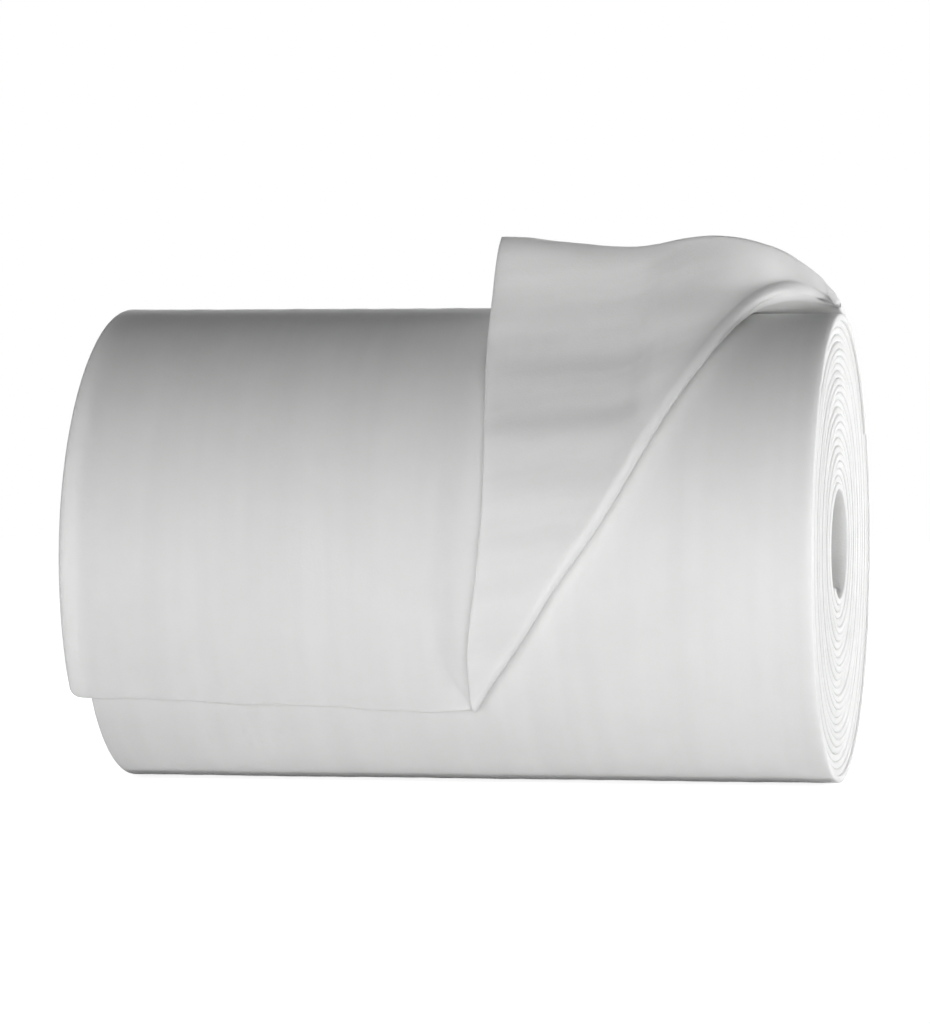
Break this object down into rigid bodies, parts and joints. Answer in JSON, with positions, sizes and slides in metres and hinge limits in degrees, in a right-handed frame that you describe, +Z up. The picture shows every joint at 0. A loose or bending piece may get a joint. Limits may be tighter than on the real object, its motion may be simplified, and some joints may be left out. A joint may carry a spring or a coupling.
{
  "type": "foam insulation roll",
  "caption": "White closed-cell polyethylene foam sheet wound into a roll round an open bore, lying on its side with the loose corner folded back.",
  "frame": {"origin": "centre of the bore at mid-width of the roll", "axes": "+X along the bore towards the end where the corner is folded back, +Z up as the roll lies, the free end on the -Y side"},
  "size_m": [0.513, 0.3399, 0.3808],
  "materials": {
    "foam": "white closed-cell polyethylene foam, matte skin with fine cells, slightly translucent"
  },
  "bodies": {
    "root": {"foam_roll": "foam"}
  },
  "joints": []
}
